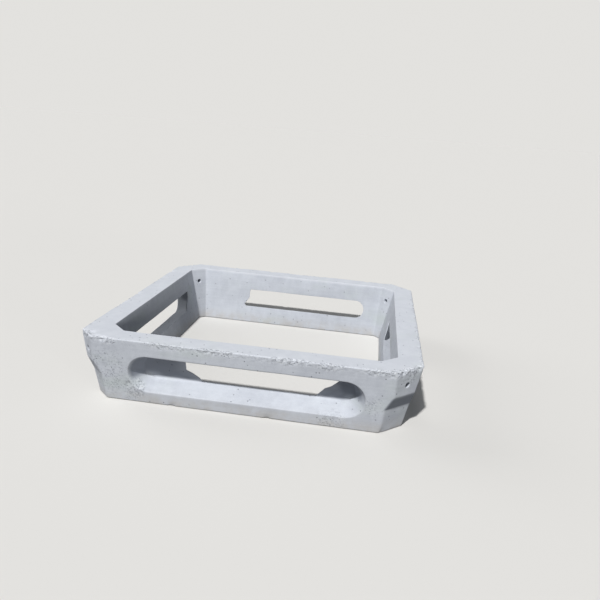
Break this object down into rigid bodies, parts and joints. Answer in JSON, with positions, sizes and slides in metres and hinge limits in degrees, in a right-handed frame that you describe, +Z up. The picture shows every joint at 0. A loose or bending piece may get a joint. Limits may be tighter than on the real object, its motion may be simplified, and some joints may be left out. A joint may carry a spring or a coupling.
{
  "type": "concrete revetment block",
  "caption": "Open square cast concrete frame with cut-off corners, walls that lean in, a flared slot through each wall and a round hole through each corner, for paving banks and slopes.",
  "frame": {"origin": "on the ground under the middle of the block", "axes": "+X along the front wall towards the right end, +Y from the front wall to the back wall, +Z up"},
  "size_m": [1.4974, 1.4974, 0.31],
  "materials": {
    "concrete": "plain cast concrete, smooth off the mould, rough and porous along the top outer edges"
  },
  "bodies": {
    "root": {"revetment_block": "concrete"}
  },
  "joints": []
}
